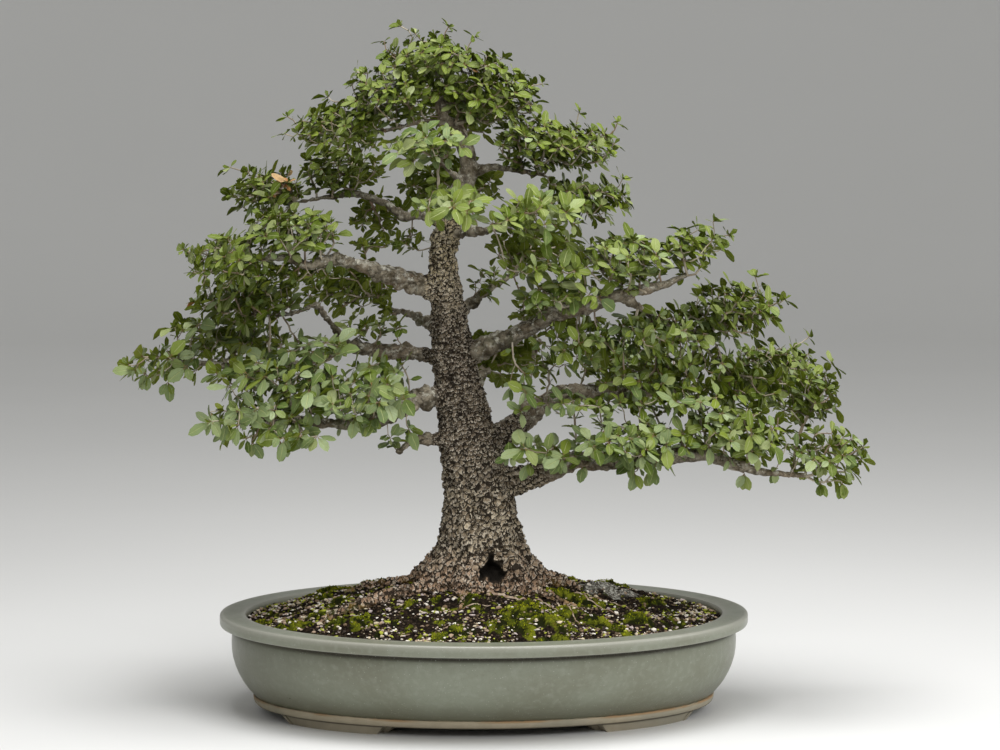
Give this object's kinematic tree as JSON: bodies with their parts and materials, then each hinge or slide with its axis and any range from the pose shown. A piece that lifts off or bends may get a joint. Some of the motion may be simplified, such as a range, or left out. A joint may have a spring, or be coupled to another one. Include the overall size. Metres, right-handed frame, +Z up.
{
  "type": "live oak bonsai",
  "caption": "Live oak bonsai with a flared, fissured trunk and wide leafy limbs, rooted in mossy soil in an oval celadon-glazed pot on low feet.",
  "frame": {"origin": "on the table under the middle of the whole crown, at the height of the pot's feet", "axes": "+Z up the tree, +X along the pot's length to the tree's right as its front is seen, -Y towards its front"},
  "size_m": [0.6699, 0.372, 0.6213],
  "materials": {
    "glaze": "satin",
    "screen": "matte",
    "soil": "matte",
    "bark": "matte",
    "leaf": "satin"
  },
  "bodies": {
    "root": {"pot": "glaze", "drain_screen_left": "screen", "drain_screen_right": "screen", "soil": "soil", "tree_wood": "bark", "spray_left_low_inner": "leaf", "spray_left_low_outer": "leaf", "spray_left_low_top": "leaf", "spray_left_stub": "leaf", "spray_left_wide_tip": "leaf", "spray_left_wide_mid": "leaf", "spray_left_fork": "leaf", "spray_left_high_tip": "leaf", "spray_left_high_mid": "leaf", "spray_left_upper_tip": "leaf", "spray_left_upper_mid": "leaf", "spray_left_top": "leaf", "spray_crown_left": "leaf", "spray_crown_tip": "leaf", "spray_crown_right": "leaf", "spray_crown_front": "leaf", "spray_right_top_tip": "leaf", "spray_right_top_mid": "leaf", "spray_right_top_low": "leaf", "spray_front_left": "leaf", "spray_front_right": "leaf", "spray_right_high_tip": "leaf", "spray_right_high_mid": "leaf", "spray_right_high_low": "leaf", "spray_right_spur_tip": "leaf", "spray_right_spur_mid": "leaf", "spray_right_mid_inner": "leaf", "spray_right_mid_tip": "leaf", "spray_right_riser": "leaf", "spray_right_low_inner": "leaf", "spray_right_low_mid": "leaf", "spray_right_low_outer": "leaf", "spray_right_low_tip": "leaf", "spray_back_low": "leaf", "spray_back_left": "leaf", "spray_back_right": "leaf", "spray_back_high": "leaf", "spray_back_top": "leaf"}
  },
  "joints": []
}
